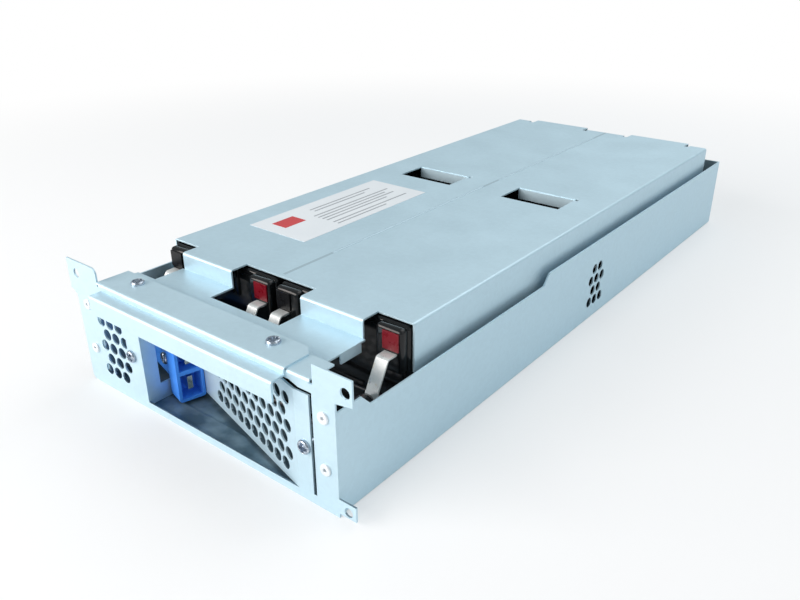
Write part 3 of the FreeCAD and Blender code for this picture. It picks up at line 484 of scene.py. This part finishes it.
def fasteners_of(node, facing):
    """Each fastener of a node: where its head is seated, and the head's and the shank's sizes."""
    side = facing.cross(TO_TOP if abs(facing.z) < 0.5 else Vector((0, 1, 0))).normalized()
    other = facing.cross(side)
    spots = []
    for vert in NODES[node].data.vertices:
        flat = Vector((vert.co.dot(side), vert.co.dot(other)))
        home = next((spot for spot in spots if (spot[0][0] - flat).length < FASTENER_REACH), None)
        if home is None:
            home = []
            spots.append(home)
        home.append((flat, vert.co.dot(facing)))
    found = []
    for spot in spots:
        low = Vector((min(flat.x for flat, _ in spot), min(flat.y for flat, _ in spot)))
        high = Vector((max(flat.x for flat, _ in spot), max(flat.y for flat, _ in spot)))
        middle, radius = (low + high) / 2, (high.x - low.x) / 2
        top = max(depth for _, depth in spot)
        seat = min(depth for flat, depth in spot if (flat - middle).length > radius * HEAD_SHARE)
        shank = max((flat - middle).length for flat, depth in spot if depth < seat - SHANK_DROP)
        length = seat - min(depth for _, depth in spot)
        place = side * middle.x + other * middle.y + facing * seat
        found.append((place, (radius, top - seat, shank, length)))
    return found


def add_turned(bm, outline, steps=40):
    """A closed body turned about Z from an outline of radius and height."""
    rings = []
    for radius, height in outline:
        if radius == 0:
            rings.append([bm.verts.new((0, 0, height))] * steps)
            continue
        turn = [math.tau * step / steps for step in range(steps)]
        rings.append([bm.verts.new((radius * math.cos(a), radius * math.sin(a), height)) for a in turn])
    for lower, upper in zip(rings, rings[1:]):
        for step in range(steps):
            after = (step + 1) % steps
            corners = [lower[step], lower[after], upper[after], upper[step]]
            bm.faces.new(list(dict.fromkeys(corners)))


def rivet_mesh(radius, height, shank, length):
    """A blind rivet: a ring head, a deep dimple with the mandrel's end, and its shank."""
    hole = radius * (1 - sizes().fasteners.ring)
    round_share, base_share, bulb = 0.45, 0.3, shank * 1.25
    dimple, stub = 2.2 * MM, 1.4 * MM
    turns = [math.radians(turn) for turn in (0, 30, 60, 90)]
    edge = [(radius - height * round_share * (1 - math.cos(turn)),
             height * (base_share + round_share * math.sin(turn))) for turn in turns]
    outline = [(0, -length), (bulb, -length + 0.2 * MM), (bulb, -length + 1.2 * MM),
               (shank, -length + 1.8 * MM), (shank, 0), (radius, 0)] + edge
    outline += [(hole * 1.3, height * 0.7), (hole, height * 0.5), (hole, -dimple),
                (hole * 0.7, -dimple), (hole * 0.6, -stub), (0, -stub + 0.1 * MM)]
    bm = bmesh.new()
    add_turned(bm, outline)
    return mesh_from("rivet_pattern", bm, angle=50)


def screw_mesh(radius, height, shank, length):
    """A pan head with a cross recess, over a plain shank."""
    plan = sizes().fasteners
    rings, steps = 22, 72
    reach, half = plan.recess_reach * radius, plan.recess_width * radius
    depth = plan.recess_depth * height
    end_slope, side_slope = radius * 0.16, radius * 0.035
    rim_start, crown_drop, rim_share = 0.8, 0.3, 0.75
    turns = [math.tau * step / steps for step in range(steps)]

    def top_at(x, y):
        out = math.hypot(x, y) / radius
        rim = max(0, (out - rim_start) / (1 - rim_start))
        round_off = math.sqrt(1 - rim_share + rim_share * max(0, 1 - rim ** 2))
        along, across = max(abs(x), abs(y)), min(abs(x), abs(y))
        slope = min(1, max(0, (reach - along) / end_slope))
        wall = min(1, max(0, (half - across) / side_slope))
        return height * (1 - crown_drop * out * out) * round_off - depth * slope * wall

    def add_loop(out, height_at):
        spots = [(out * math.cos(turn), out * math.sin(turn)) for turn in turns]
        return [bm.verts.new((x, y, height_at(x, y))) for x, y in spots]

    bm = bmesh.new()
    loops = [add_loop(radius * ring / rings, top_at) for ring in range(1, rings + 1)]
    for out, level in ((radius, 0), (shank, 0), (shank, -length)):
        loops.append(add_loop(out, lambda x, y: level))
    crown, foot = bm.verts.new((0, 0, top_at(0, 0))), bm.verts.new((0, 0, -length))
    for inner, outer in zip(loops, loops[1:]):
        for step in range(steps):
            after = (step + 1) % steps
            bm.faces.new((inner[step], outer[step], outer[after], inner[after]))
    for step in range(steps):
        after = (step + 1) % steps
        bm.faces.new((crown, loops[0][step], loops[0][after]))
        bm.faces.new((foot, loops[-1][after], loops[-1][step]))
    return mesh_from("screw_pattern", bm, angle=28)


def make_fastener_tree():
    """Copies of one fastener on points, each faced the same way and spun by chance."""
    tree = bpy.data.node_groups.new("fasteners_on_points", "GeometryNodeTree")
    for label, kind in (("Geometry", "NodeSocketGeometry"), ("Fastener", "NodeSocketObject"),
                        ("Facing", "NodeSocketRotation"), ("Spin", "NodeSocketFloat"),
                        ("Seed", "NodeSocketInt"), ("Material", "NodeSocketMaterial")):
        tree.interface.new_socket(name=label, in_out="INPUT", socket_type=kind)
    tree.interface.new_socket(name="Geometry", in_out="OUTPUT", socket_type="NodeSocketGeometry")
    given, result = tree.nodes.new("NodeGroupInput"), tree.nodes.new("NodeGroupOutput")
    source = make_node(tree, "GeometryNodeObjectInfo", {"Object": given.outputs["Fastener"]})
    chance = make_node(tree, "FunctionNodeRandomValue", {"Seed": given.outputs["Seed"]}, data_type="FLOAT")
    tree.links.new(given.outputs["Spin"], chance.inputs[3])
    spin = make_node(tree, "FunctionNodeAxisAngleToRotation", {"Axis": (0, 0, 1)})
    tree.links.new(chance.outputs[1], spin.inputs["Angle"])
    aim = make_node(tree, "FunctionNodeRotateRotation", {"Rotation": given.outputs["Facing"],
                    "Rotate By": spin.outputs[0]}, rotation_space="LOCAL")
    copies = make_node(tree, "GeometryNodeInstanceOnPoints", {"Points": given.outputs["Geometry"],
                       "Instance": source.outputs["Geometry"], "Rotation": aim.outputs[0]})
    real = make_node(tree, "GeometryNodeRealizeInstances", {"Geometry": copies.outputs[0]})
    painted = make_node(tree, "GeometryNodeSetMaterial", {"Geometry": real.outputs[0],
                        "Material": given.outputs["Material"]})
    tree.links.new(painted.outputs[0], result.inputs["Geometry"])
    return tree


def run_tree(name, tree, points, values):
    """The tree's result on loose points, as a plain mesh."""
    mesh = bpy.data.meshes.new(name)
    mesh.from_pydata(points, [], [])
    holder = link_object(name + "_points", mesh)
    modifier = holder.modifiers.new("tree", "NODES")
    modifier.node_group = tree
    for item in tree.interface.items_tree:
        if item.in_out == "INPUT" and item.name in values:
            modifier[item.identifier] = values[item.name]
    ready = holder.evaluated_get(bpy.context.evaluated_depsgraph_get())
    result = bpy.data.meshes.new_from_object(ready)
    if not result.polygons:
        raise RuntimeError(f"{name}: the tree made no faces")
    result.name = name
    bpy.data.objects.remove(holder)
    return result


def place_fasteners(name, node, facing, slot_name, make_mesh, spin, seed):
    found = fasteners_of(node, facing)
    pattern = link_object(name + "_pattern", make_mesh(*found[0][1]))
    tree = bpy.data.node_groups.get("fasteners_on_points") or make_fastener_tree()
    aim = TO_TOP.rotation_difference(facing).to_euler()
    values = {"Fastener": pattern, "Facing": aim, "Spin": spin, "Seed": seed,
              "Material": bpy.data.materials[slot_name]}
    mesh = run_tree(name, tree, [place for place, _ in found], values)
    bpy.data.objects.remove(pattern)
    wear(link_object(name, finish_mesh(mesh, angle=40)), slot_name, node)


class PlaceRivets(bpy.types.Operator):
    """Puts blind rivets where the CAD rivets are"""
    bl_idname = "cartridge.rivets"
    bl_label = "Rivets"

    def execute(self, context):
        place_fasteners("ring_rivets", "front_rivets", TO_FRONT, "rivet_metal", rivet_mesh, 0.0, 1)
        return {"FINISHED"}


class PlaceScrews(bpy.types.Operator):
    """Puts cross recess screws where the CAD screws are"""
    bl_idname = "cartridge.screws"
    bl_label = "Screws"

    def execute(self, context):
        slanted = Vector((-math.sin(PANEL_ANGLE), -math.cos(PANEL_ANGLE), 0))
        for seed, (node, facing) in enumerate((("front_screws", TO_FRONT), ("bezel_screws", TO_TOP),
                                               ("connector_screw", slanted))):
            place_fasteners("cross_" + node, node, facing, "screw_steel", screw_mesh, math.pi / 2, seed + 5)
        return {"FINISHED"}


# block lids

def add_lid(bm, number):
    """A lid: its rounded body, seam lip, raised face, terminal towers, vent ridges and low field."""
    plan = sizes().lids
    low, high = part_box(f"battery_lid_{number}")
    lip, sunk = plan.lip, 1 * MM
    face = low.y + plan.relief
    seam = high.y - 2 * MM
    add_slab(bm, (low.x + lip, face, low.z + lip), (high.x - lip, high.y, high.z - lip), plan.corner, 5)
    add_slab(bm, (low.x, seam, low.z), high, 0.25 * MM)

    inset, raised = 4 * MM, 0.8 * MM
    add_slab(bm, (low.x + inset, face - raised, low.z + inset),
             (high.x - inset, face + sunk, high.z - inset), 0.6 * MM)

    tower_top = high.z - 1.2 * MM
    tower_low = tower_top - plan.tower_height
    tower_low_x, tower_high_x = low.x + 1.5 * MM, high.x - 1.5 * MM
    pads = [spot for node in ("positive_pads", "negative_pads") for spot in pad_middles(node, low, high)]
    for x in pads:
        start = max(x - plan.tower_width / 2, tower_low_x)
        end = min(x + plan.tower_width / 2, tower_high_x)
        add_slab(bm, (start, low.y, tower_low), (end, face + 2 * MM, tower_top), 2.2 * MM, 5)

    if plan.ridges and len(pads) == 2:
        start, end = min(pads) + plan.tower_width, max(pads) - plan.tower_width
        pitch = (end - start) / plan.ridges
        half, height = pitch * 0.28, 2 * MM
        for step in range(plan.ridges):
            x = start + pitch * (step + 0.5)
            add_slab(bm, (x - half, face - height, tower_low + 8 * MM),
                     (x + half, face + sunk, tower_top - 1.5 * MM), 0.7 * MM)

    middle, half, height = (low.x + high.x) / 2, 16 * MM, 1.6 * MM
    add_slab(bm, (middle - half, face - height, low.z + 8 * MM),
             (middle + half, face + sunk, low.z + 30 * MM), 0.8 * MM)


def pad_middles(node, low, high):
    """Where the pads of one block's lid stand across its face."""
    pad_depth = 4 * MM
    near = [vert.co.x for vert in NODES[node].data.vertices
            if low.x < vert.co.x < high.x and abs(vert.co.y - low.y) < pad_depth]
    return [(min(near) + max(near)) / 2] if near else []


class MouldLids(bpy.types.Operator):
    """Moulds each block's lid with towers, ridges and a seam lip"""
    bl_idname = "cartridge.lids"
    bl_label = "Block lids"

    def execute(self, context):
        for number in range(1, BLOCK_COUNT + 1):
            bm = bmesh.new()
            add_lid(bm, number)
            mesh = mesh_from(f"moulded_lid_{number}", bm)
            wear(link_object(mesh.name, mesh), "block_lid", f"battery_lid_{number}")
        return {"FINISHED"}


# straps

def add_strap(bm, number):
    """A tinned strap: flat out of its tower, over a bend and down to its lead."""
    low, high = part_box(f"front_strap_{number}")
    width, gauge, bend = sizes().straps.width, sizes().straps.gauge, sizes().straps.bend
    top = high.z - gauge / 2
    corner = Vector((PLATE_FACE + sizes().straps.shelf, top))
    foot_lift = 0.5 * MM
    foot = Vector((low.y + gauge / 2, low.z + foot_lift))
    down = (foot - corner).normalized()
    turn = math.acos(max(-1, min(1, Vector((-1, 0)).dot(down))))
    reach = bend * math.tan(turn / 2)
    middle = Vector((corner.x + reach, top - bend))
    line = [Vector((high.y, top))]
    steps = 8
    for step in range(steps + 1):
        angle = math.pi / 2 + turn * step / steps
        line.append(middle + Vector((math.cos(angle), math.sin(angle))) * bend)
    line.append(foot)
    sides = []
    for index, point in enumerate(line):
        before, after = line[max(0, index - 1)], line[min(len(line) - 1, index + 1)]
        along = (after - before).normalized()
        out = Vector((along.y, -along.x)) * gauge / 2
        sides.append((point + out, point - out))
    centre = (low.x + high.x) / 2
    rings = []
    for upper, lower in sides:
        corners = ((centre - width / 2, upper), (centre + width / 2, upper),
                   (centre + width / 2, lower), (centre - width / 2, lower))
        rings.append([bm.verts.new((x, place.x, place.y)) for x, place in corners])
    for first, second in zip(rings, rings[1:]):
        for side in range(4):
            after = (side + 1) % 4
            bm.faces.new((first[side], first[after], second[after], second[side]))
    bm.faces.new(rings[0])
    bm.faces.new(list(reversed(rings[-1])))


class BendStraps(bpy.types.Operator):
    """Bends the four straps of the front terminals"""
    bl_idname = "cartridge.straps"
    bl_label = "Front straps"

    def execute(self, context):
        for number in range(1, STRAP_COUNT + 1):
            bm = bmesh.new()
            add_strap(bm, number)
            mesh = mesh_from(f"bent_strap_{number}", bm, angle=30)
            wear(link_object(mesh.name, mesh), "tinned_metal", f"front_strap_{number}")
        return {"FINISHED"}


# leads

# the black lead's way in millimetres: from the connector's tail down to the floor at the left strap,
# along the lane in front of the blocks, and in two loops up to the right strap

TAIL_ROUTE = ((3, -9, 26), (-5, -6.5, 26))
LANE_FROM_FACE = 46.8
DROP_ROUTE = ((-7, 0, 22), (-6, 3, 10), (6, 1, 5.6), (28, 0, 3.6))
LANE_ROUTE = ((-20, -2, 3.6), (20, 0, 4.6), (50, -4, 4.6))
LOOP_ROUTE = ((-8.5, 34, 8), (5.5, 24, 14), (10.5, 14, 24), (10.5, 11.5, 38), (8.5, 18, 49),
              (6.5, 28, 49), (5.5, 35, 38), (5.5, 31, 24), (5.5, 21, 20), (6, 13.5, 28),
              (5.5, 13, 40), (3.5, 20, 47), (1.5, 30, 45), (0, 38, 40), (0, 40.7, 35.2))


def tube(name, points, diameter):
    """A smooth round lead along control points."""
    curve = bpy.data.curves.new(name, "CURVE")
    curve.dimensions = "3D"
    curve.bevel_depth = diameter / 2
    curve.bevel_resolution = 5
    curve.use_fill_caps = True
    spline = curve.splines.new("NURBS")
    spline.points.add(len(points) - 1)
    for point, place in zip(spline.points, points):
        point.co = (*place, 1)
    spline.order_u = 3
    spline.use_endpoint_u = True
    spline.resolution_u = 8
    holder = link_object(name + "_route", curve)
    ready = holder.evaluated_get(bpy.context.evaluated_depsgraph_get())
    mesh = bpy.data.meshes.new_from_object(ready)
    mesh.name = name
    bpy.data.objects.remove(holder)
    return link_object(name, finish_mesh(mesh, angle=60))


class RouteLeads(bpy.types.Operator):
    """Routes the black lead along the blocks and in two loops up to the right strap"""
    bl_idname = "cartridge.leads"
    bl_label = "Connector leads"

    def execute(self, context):
        tail_low, tail_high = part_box("connector_housing")
        tail = Vector((tail_low.x, tail_high.y, 0))
        face = Vector((0, PLATE_FACE, 0))
        lane = face + Vector((0, LANE_FROM_FACE * MM, 0))
        left = Vector((self.middle_of("front_strap_1"), 0, 0))
        right = Vector((self.middle_of(f"front_strap_{STRAP_COUNT}"), 0, 0))
        stretches = ((tail, TAIL_ROUTE), (lane + left, DROP_ROUTE), (lane, LANE_ROUTE),
                     (face + right, LOOP_ROUTE))
        route = [start + Vector(step) * MM for start, steps in stretches for step in steps]
        wear(tube("looped_black_lead", route, sizes().leads.diameter), "lead_black", "black_lead")
        return {"FINISHED"}

    def middle_of(self, node):
        return sum(corner.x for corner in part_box(node)) / 2


# label

# shares of the label's width and length: a line's place across and along and its length, and the
# red field's place, width and length

LINE_WIDTH = 0.028
TEXT_LINES = ((0.2, 0.36, 0.5), (0.28, 0.36, 0.42), (0.42, 0.3, 0.62), (0.5, 0.3, 0.56),
              (0.58, 0.3, 0.6), (0.66, 0.3, 0.5), (0.78, 0.3, 0.62), (0.86, 0.3, 0.4))
RED_FIELD = (0.2, 0.08, 0.26, 0.15)
PRINT_THICKNESS = 0.03 * MM


class PrintLabel(bpy.types.Operator):
    """Lays plain colour fields on the film label"""
    bl_idname = "cartridge.label_print"
    bl_label = "Label fields"

    def execute(self, context):
        bars = [(across, along, LINE_WIDTH, long) for across, along, long in TEXT_LINES]
        self.add_fields("label_grey_fields", "print_grey", bars)
        self.add_fields("label_red_field", "print_red", [RED_FIELD])
        return {"FINISHED"}

    def add_fields(self, name, material, fields):
        low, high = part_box("label")
        width, length = high.x - low.x, high.y - low.y
        bm = bmesh.new()
        for across, along, wide, deep in fields:
            start = Vector((low.x + width * across, low.y + length * along, high.z))
            add_slab(bm, start, start + Vector((width * wide, length * deep, PRINT_THICKNESS)))
        piece = link_object(name, mesh_from(name, bm))
        piece.data.materials.append(bpy.data.materials[material])
        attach(piece, BODY)


# stage

LAMP_TARGET = (0, -0.05, 0.04)
WARM, NEUTRAL = (1.0, 0.92, 0.88), (1, 1, 1)
SKY_COLOUR = (0.87, 0.96, 1.0)
FLOOR_HALF = 9
LEAST_WHITE = 0.35


def add_lamp(name, place, size, power, colour=NEUTRAL):
    data = bpy.data.lights.new(name, "AREA")
    data.shape = "RECTANGLE"
    data.size, data.size_y = size
    data.energy = power
    data.color = colour
    lamp = bpy.data.objects.new(name, data)
    bpy.context.scene.collection.objects.link(lamp)
    aim = (Vector(LAMP_TARGET) - Vector(place)).to_track_quat("-Z", "Y")
    lamp.matrix_world = Matrix.Translation(place) @ aim.to_matrix().to_4x4()


class BuildStage(bpy.types.Operator):
    """Sets the floor, the sky, the lamps and the camera"""
    bl_idname = "cartridge.stage"
    bl_label = "Stage"

    def execute(self, context):
        plan = sizes().stage
        scene = context.scene
        scene.view_settings.view_transform = "Standard"
        self.add_floor(plan)
        self.add_sky(scene, plan)
        add_lamp("key_lamp", (-0.7, -1.5, 0.7), (1.6, 1.0), plan.key, WARM)
        add_lamp("right_lamp", (1.3, 0.1, 0.7), (0.9, 0.9), plan.fill)
        add_lamp("top_lamp", (0.3, 0.9, 1.5), (1.6, 1.6), plan.top)
        self.add_camera(scene, plan)
        return {"FINISHED"}

    def add_floor(self, plan):
        bm = bmesh.new()
        bmesh.ops.create_grid(bm, x_segments=1, y_segments=1, size=FLOOR_HALF)
        floor = link_object("floor", mesh_from("floor", bm))
        material = bpy.data.materials.new("floor_paper")
        material.use_nodes = True
        tree = material.node_tree
        shader = tree.nodes["Principled BSDF"]
        shader.inputs["Base Color"].default_value = (*plan.floor, 1)
        shader.inputs["Roughness"].default_value = 0.85
        white = make_node(tree, "ShaderNodeEmission", {"Color": (1, 1, 1, 1), "Strength": 1.0})
        place = make_node(tree, "ShaderNodeTexCoord").outputs["Object"]
        away = make_node(tree, "ShaderNodeVectorMath", {0: place}, operation="LENGTH")
        fade = make_node(tree, "ShaderNodeMapRange", {"Value": away.outputs["Value"],
                         "From Min": plan.clear_start, "From Max": plan.clear_end, "To Min": LEAST_WHITE},
                         interpolation_type="SMOOTHSTEP")
        seen = make_node(tree, "ShaderNodeLightPath").outputs["Is Camera Ray"]
        share = math_node(tree, "MULTIPLY", fade.outputs["Result"], seen)
        mix = make_node(tree, "ShaderNodeMixShader", {"Fac": share})
        tree.links.new(shader.outputs[0], mix.inputs[1])
        tree.links.new(white.outputs[0], mix.inputs[2])
        tree.links.new(mix.outputs[0], tree.nodes["Material Output"].inputs["Surface"])
        floor.data.materials.append(material)

    def add_sky(self, scene, plan):
        world = bpy.data.worlds.new("studio_sky")
        world.use_nodes = True
        tree = world.node_tree
        light = tree.nodes["Background"]
        light.inputs["Color"].default_value = (*SKY_COLOUR, 1)
        light.inputs["Strength"].default_value = plan.ambient
        white = make_node(tree, "ShaderNodeBackground", {"Color": (1, 1, 1, 1), "Strength": 1.0})
        path = make_node(tree, "ShaderNodeLightPath")
        mix = make_node(tree, "ShaderNodeMixShader", {"Fac": path.outputs["Is Camera Ray"]})
        tree.links.new(light.outputs[0], mix.inputs[1])
        tree.links.new(white.outputs[0], mix.inputs[2])
        tree.links.new(mix.outputs[0], tree.nodes["World Output"].inputs["Surface"])
        scene.world = world

    def add_camera(self, scene, plan):
        data = bpy.data.cameras.new("camera")
        data.sensor_width = 36
        data.lens = plan.lens
        data.clip_start = 0.01
        camera = bpy.data.objects.new("camera", data)
        scene.collection.objects.link(camera)
        back = Vector((math.sin(plan.azimuth) * math.cos(plan.elevation),
                       -math.cos(plan.azimuth) * math.cos(plan.elevation), math.sin(plan.elevation)))
        side = (-back).cross(TO_TOP).normalized()
        rise = side.cross(-back)
        right = side * math.cos(plan.roll) + rise * math.sin(plan.roll)
        up = rise * math.cos(plan.roll) - side * math.sin(plan.roll)
        turn = Matrix((right, up, back)).transposed().to_4x4()
        camera.matrix_world = Matrix.Translation(plan.camera) @ turn
        scene.camera = camera


class CartridgeSizes(bpy.types.PropertyGroup):
    sheet: PointerProperty(type=SheetFinish, name="Sheet", description="Finish of the zinc sheet")
    fasteners: PointerProperty(type=FastenerSizes, name="Fasteners", description="Shares of the heads")
    lids: PointerProperty(type=LidSizes, name="Lids", description="Sizes of the moulded lids")
    straps: PointerProperty(type=StrapSizes, name="Straps", description="Sizes of the straps")
    leads: PointerProperty(type=LeadSizes, name="Leads", description="Sizes of the leads")
    stage: PointerProperty(type=StageSizes, name="Stage", description="Camera, lamps and floor")


OPERATORS = (FinishNodes, PlaceRivets, PlaceScrews, MouldLids, BendStraps, RouteLeads, PrintLabel,
             BuildStage)


class CartridgePanel(bpy.types.Panel):
    """Lists the steps that dress the cartridge"""
    bl_idname = "VIEW3D_PT_cartridge"
    bl_label = "Battery cartridge"
    bl_space_type = "VIEW_3D"
    bl_region_type = "UI"
    bl_category = "Cartridge"

    def draw(self, context):
        for operator in OPERATORS:
            self.layout.operator(operator.bl_idname)


CLASSES = (SheetFinish, FastenerSizes, LidSizes, StrapSizes, LeadSizes, StageSizes, CartridgeSizes,
           *OPERATORS, CartridgePanel)


def register():
    for item in CLASSES:
        bpy.utils.register_class(item)
    bpy.types.Scene.cartridge_sizes = PointerProperty(type=CartridgeSizes)


def unregister():
    del bpy.types.Scene.cartridge_sizes
    for item in reversed(CLASSES):
        bpy.utils.unregister_class(item)


def main():
    register()
    bpy.ops.cartridge.finish_nodes()
    bpy.ops.cartridge.rivets()
    bpy.ops.cartridge.screws()
    bpy.ops.cartridge.lids()
    bpy.ops.cartridge.straps()
    bpy.ops.cartridge.leads()
    bpy.ops.cartridge.label_print()
    bpy.ops.cartridge.stage()


if __name__ == "__main__":
    main()
